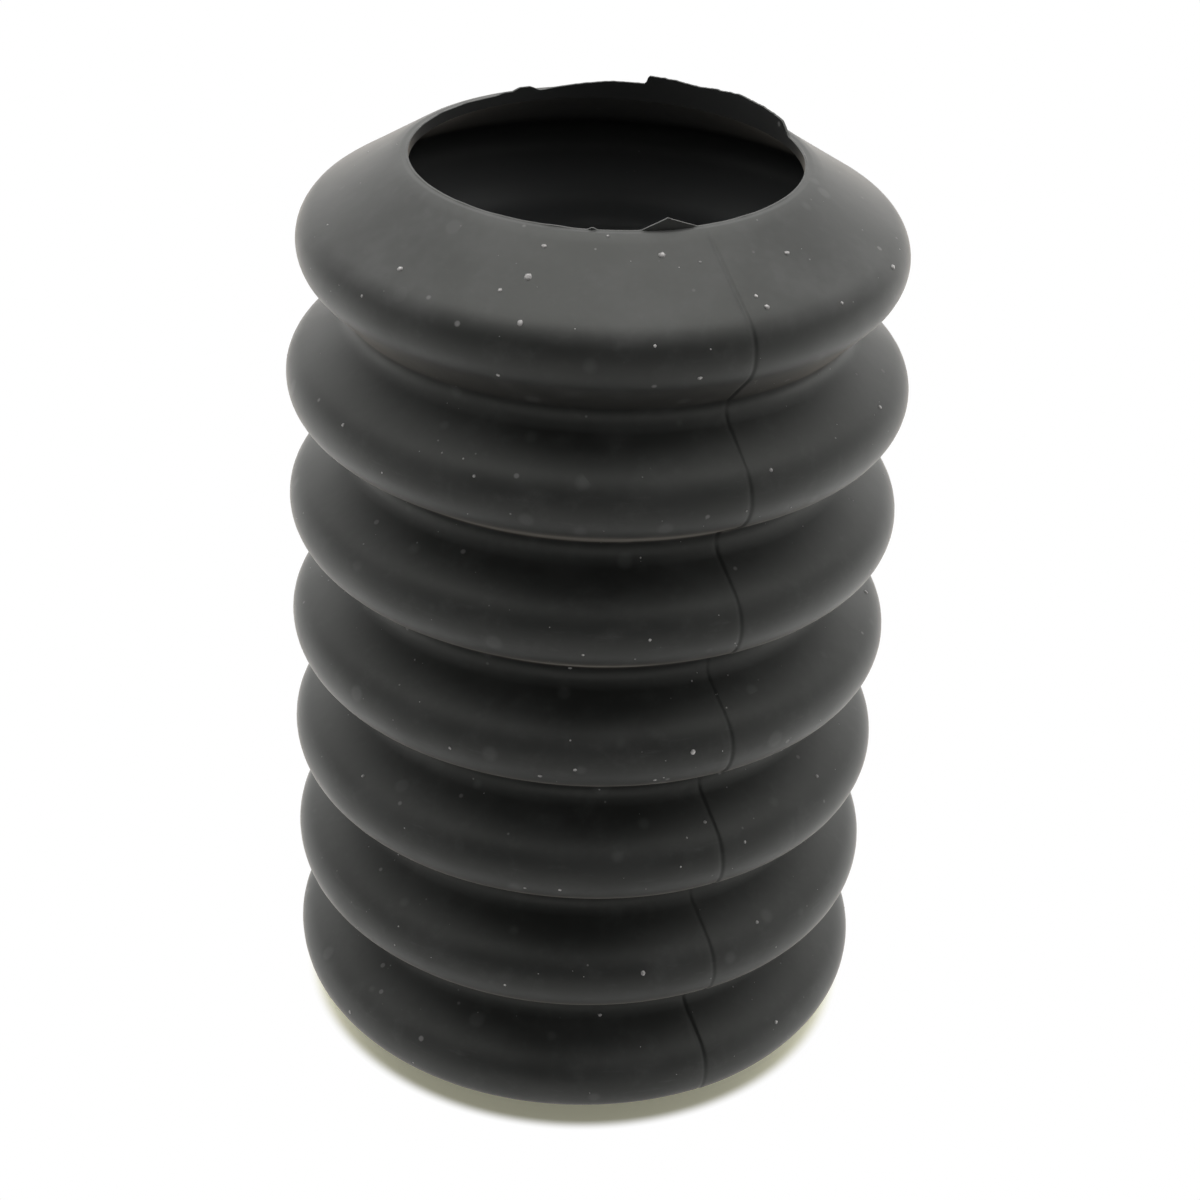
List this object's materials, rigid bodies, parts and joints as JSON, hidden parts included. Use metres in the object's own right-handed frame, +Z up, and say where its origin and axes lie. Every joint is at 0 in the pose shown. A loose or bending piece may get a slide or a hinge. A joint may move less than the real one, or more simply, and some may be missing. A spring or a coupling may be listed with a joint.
{
  "type": "rubber bellows boot",
  "caption": "Black moulded rubber bellows boot: a thin-walled tube of round folds, open at both ends, with a trimmed lip at each mouth.",
  "frame": {"origin": "centre of the lower mouth, in the plane of the lower lip, on the surface the boot stands on", "axes": "+Z up the boot's axis to the upper mouth, whose lip carries the torn flash; -Y towards the side with the small tag of flash, a parting ridge 28 degrees round from it towards +X"},
  "size_m": [0.06, 0.06, 0.0981],
  "materials": {
    "rubber": "matte"
  },
  "bodies": {
    "root": {"bellows_boot": "rubber"}
  },
  "joints": []
}
